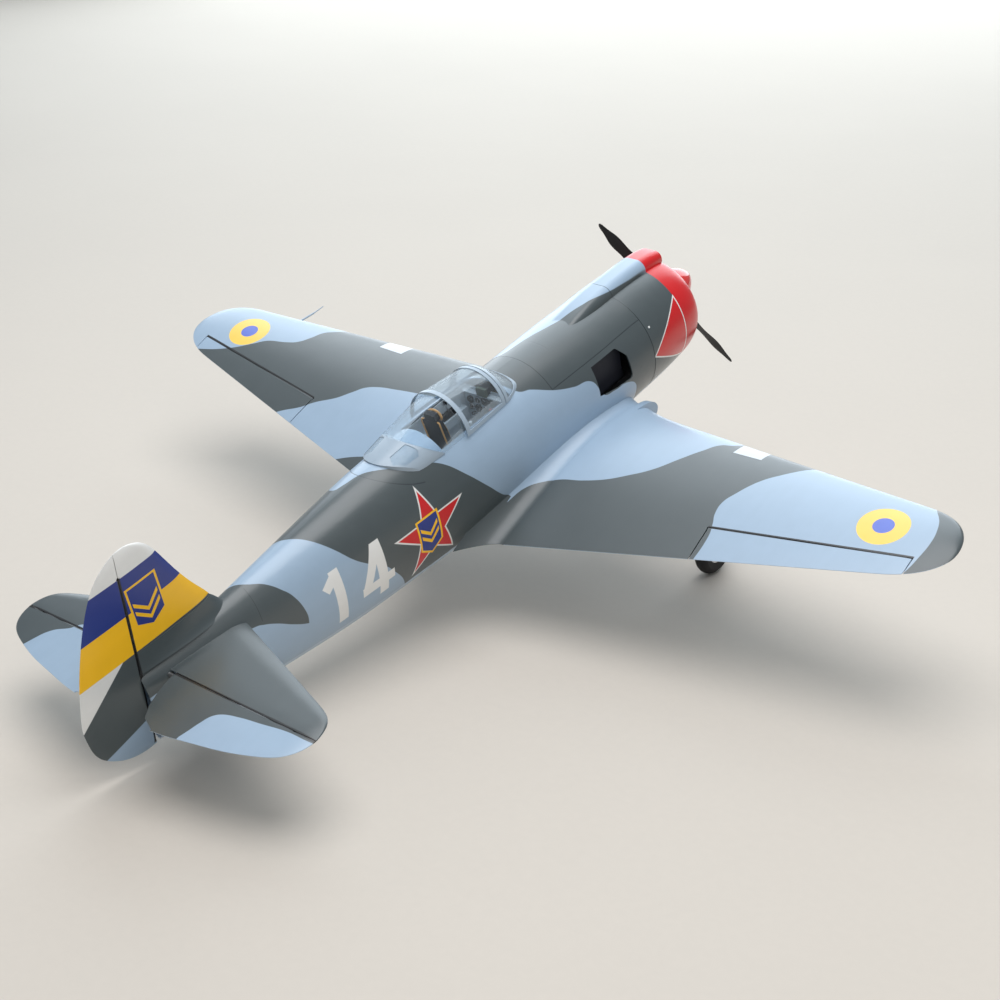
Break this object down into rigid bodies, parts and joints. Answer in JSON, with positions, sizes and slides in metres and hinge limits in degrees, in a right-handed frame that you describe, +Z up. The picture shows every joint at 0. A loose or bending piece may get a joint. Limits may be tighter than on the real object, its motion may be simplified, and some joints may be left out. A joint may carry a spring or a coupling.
{
  "type": "radio-controlled model aircraft",
  "caption": "Radio-controlled low-wing fighter model with sliding canopy hood, retracting main gear, working control surfaces and spinning propeller.",
  "frame": {"origin": "on the ground under the middle of the standing aircraft", "axes": "nose towards -Y, +Z up, wings along X with the port wing towards +X; it stands nose up on its three wheels"},
  "size_m": [1.9992, 1.774, 0.6277],
  "materials": {
    "camouflage_paint": "satin camouflage in light blue grey and dark grey green",
    "nose_paint": "gloss red front, grey green behind",
    "tail_paint": "satin grey green with diagonal colour bands",
    "underside_paint": "satin light blue grey",
    "spinner_paint": "gloss red",
    "plywood": "bare birch plywood",
    "black_plastic": "matt black",
    "prop_black": "satin black",
    "battery_wrap": "shrink wrap",
    "alloy": "turned alloy",
    "steel": "bright steel",
    "windings": "enamelled copper",
    "tyre_rubber": "worn rubber",
    "clear_plastic": "clear moulded plastic",
    "canopy_frame": "satin light blue grey",
    "cockpit_paint": "matt blue grey",
    "seat_leather": "worn brown leather and black pan"
  },
  "bodies": {
    "airframe": {"fuselage_shell": "camouflage_paint", "cowling": "nose_paint", "nose_hatch": "camouflage_paint", "plywood_frames": "plywood", "outlet_baffles": "black_plastic", "fin": "tail_paint", "motor_stator": "windings", "motor_mount": "alloy", "battery": "battery_wrap", "speed_controller": "black_plastic", "wing_tube": "alloy", "pitot_tube": "alloy", "hinge_pins": "steel", "wing_servos": "black_plastic", "retract_units": "alloy", "landing_lights": "clear_plastic", "wing_left": "camouflage_paint", "wing_right": "camouflage_paint", "stabiliser_left": "camouflage_paint", "stabiliser_right": "camouflage_paint", "tail_wheel_bracket": "steel", "windscreen_glass": "clear_plastic", "windscreen_frame": "canopy_frame", "rear_glass": "clear_plastic", "rear_fairing": "camouflage_paint", "cockpit_tub": "cockpit_paint", "instrument_panel": "cockpit_paint", "seat": "seat_leather"},
    "propeller_unit": {"propeller": "prop_black", "spinner": "spinner_paint", "spinner_backplate": "alloy", "prop_nut": "steel", "motor_bell": "alloy"},
    "elevators": {"elevator_left": "camouflage_paint", "elevator_right": "camouflage_paint", "elevator_joiner": "steel"},
    "rudder": {"rudder": "tail_paint"},
    "tail_fork": {"tail_wheel_fork": "steel"},
    "tail_wheel": {"tail_wheel_hub": "alloy", "tail_wheel_tyre": "tyre_rubber"},
    "hood": {"hood_frame": "canopy_frame", "hood_glass": "clear_plastic"},
    "aileron_left": {"aileron_left": "camouflage_paint"},
    "flap_left": {"flap_left": "underside_paint"},
    "pushrod_left": {"aileron_pushrod_left": "steel"},
    "servo_arm_left": {"aileron_servo_arm_left": "black_plastic"},
    "leg_left": {"upper_leg_left": "alloy", "gear_door_left": "underside_paint"},
    "piston_left": {"lower_leg_left": "steel"},
    "wheel_left": {"wheel_hub_left": "alloy", "tyre_left": "tyre_rubber"},
    "aileron_right": {"aileron_right": "camouflage_paint"},
    "flap_right": {"flap_right": "underside_paint"},
    "pushrod_right": {"aileron_pushrod_right": "steel"},
    "servo_arm_right": {"aileron_servo_arm_right": "black_plastic"},
    "leg_right": {"upper_leg_right": "alloy", "gear_door_right": "underside_paint"},
    "piston_right": {"lower_leg_right": "steel"},
    "wheel_right": {"wheel_hub_right": "alloy", "tyre_right": "tyre_rubber"}
  },
  "joints": [
    {"name": "propeller_spin", "type": "hinge", "parent": "airframe", "child": "propeller_unit", "pos_m": [0, -0.79799, 0.48929], "axis": [0, -0.9677, 0.2521], "continuous": true},
    {"name": "aileron_right", "type": "hinge", "parent": "airframe", "child": "aileron_right", "pos_m": [-0.531, -0.20795, 0.2671], "axis": [0.9854, 0.122, -0.119], "range_deg": [-25, 25]},
    {"name": "aileron_left", "type": "hinge", "parent": "airframe", "child": "aileron_left", "pos_m": [0.531, -0.20795, 0.2671], "axis": [0.9854, -0.122, 0.119], "range_deg": [-25, 25]},
    {"name": "pushrod_right", "type": "hinge", "parent": "aileron_right", "child": "pushrod_right", "pos_m": [-0.7, -0.23416, 0.2672], "axis": [0.9854, 0.122, -0.119], "range_deg": [-25, 25]},
    {"name": "servo_arm_right", "type": "hinge", "parent": "airframe", "child": "servo_arm_right", "pos_m": [-0.7, -0.3066, 0.30492], "axis": [0.9854, 0.122, -0.119], "range_deg": [-25, 25]},
    {"name": "pushrod_left", "type": "hinge", "parent": "aileron_left", "child": "pushrod_left", "pos_m": [0.7, -0.23416, 0.2672], "axis": [0.9854, -0.122, 0.119], "range_deg": [-25, 25]},
    {"name": "servo_arm_left", "type": "hinge", "parent": "airframe", "child": "servo_arm_left", "pos_m": [0.7, -0.3066, 0.30492], "axis": [0.9854, -0.122, 0.119], "range_deg": [-25, 25]},
    {"name": "flap_right", "type": "hinge", "parent": "airframe", "child": "flap_right", "pos_m": [-0.172, -0.16486, 0.20639], "axis": [-0.9824, -0.1241, 0.1397], "range_deg": [0, 45]},
    {"name": "flap_left", "type": "hinge", "parent": "airframe", "child": "flap_left", "pos_m": [0.172, -0.16486, 0.20639], "axis": [-0.9824, 0.1241, -0.1397], "range_deg": [0, 45]},
    {"name": "elevator", "type": "hinge", "parent": "airframe", "child": "elevators", "pos_m": [0, 0.70605, 0.16985], "axis": [1, 0, 0], "range_deg": [-25, 25]},
    {"name": "rudder", "type": "hinge", "parent": "airframe", "child": "rudder", "pos_m": [0, 0.73774, 0.03759], "axis": [0, 0.1456, 0.9893], "range_deg": [-28, 28]},
    {"name": "tail_wheel_steer", "type": "hinge", "parent": "airframe", "child": "tail_fork", "pos_m": [0, 0.51282, 0.05484], "axis": [0, 0.2521, 0.9677], "range_deg": [-28, 28]},
    {"name": "tail_wheel_roll", "type": "hinge", "parent": "tail_fork", "child": "tail_wheel", "pos_m": [0, 0.53812, 0.025], "axis": [1, 0, 0], "continuous": true},
    {"name": "gear_retract_right", "type": "hinge", "parent": "airframe", "child": "leg_right", "pos_m": [-0.329, -0.44327, 0.30388], "axis": [0, -0.9677, 0.2521], "range_deg": [0, 87]},
    {"name": "gear_retract_left", "type": "hinge", "parent": "airframe", "child": "leg_left", "pos_m": [0.329, -0.44327, 0.30388], "axis": [0, 0.9677, -0.2521], "range_deg": [0, 87]},
    {"name": "oleo_right", "type": "slide", "parent": "leg_right", "child": "piston_right", "axis": [0.0268, 0.3362, 0.9414], "range_m": [0, 0.012], "stiffness_N_per_m": 2500, "springref_m": -0.016},
    {"name": "wheel_right_roll", "type": "hinge", "parent": "piston_right", "child": "wheel_right", "pos_m": [-0.336, -0.53107, 0.05808], "axis": [1, 0, 0], "continuous": true},
    {"name": "oleo_left", "type": "slide", "parent": "leg_left", "child": "piston_left", "axis": [-0.0268, 0.3362, 0.9414], "range_m": [0, 0.012], "stiffness_N_per_m": 2500, "springref_m": -0.016},
    {"name": "wheel_left_roll", "type": "hinge", "parent": "piston_left", "child": "wheel_left", "pos_m": [0.336, -0.53107, 0.05808], "axis": [1, 0, 0], "continuous": true},
    {"name": "hood_slide", "type": "slide", "parent": "airframe", "child": "hood", "axis": [0, 0.9796, -0.2011], "range_m": [0, 0.095]}
  ],
  "couplings": [
    {"joint": "aileron_left", "follows": "aileron_right", "ratio": -1},
    {"joint": "pushrod_right", "follows": "aileron_right", "ratio": -1},
    {"joint": "servo_arm_right", "follows": "aileron_right", "ratio": 1},
    {"joint": "pushrod_left", "follows": "aileron_right", "ratio": 1},
    {"joint": "servo_arm_left", "follows": "aileron_right", "ratio": -1},
    {"joint": "flap_left", "follows": "flap_right", "ratio": 1},
    {"joint": "tail_wheel_steer", "follows": "rudder", "ratio": 1},
    {"joint": "gear_retract_left", "follows": "gear_retract_right", "ratio": 1}
  ]
}
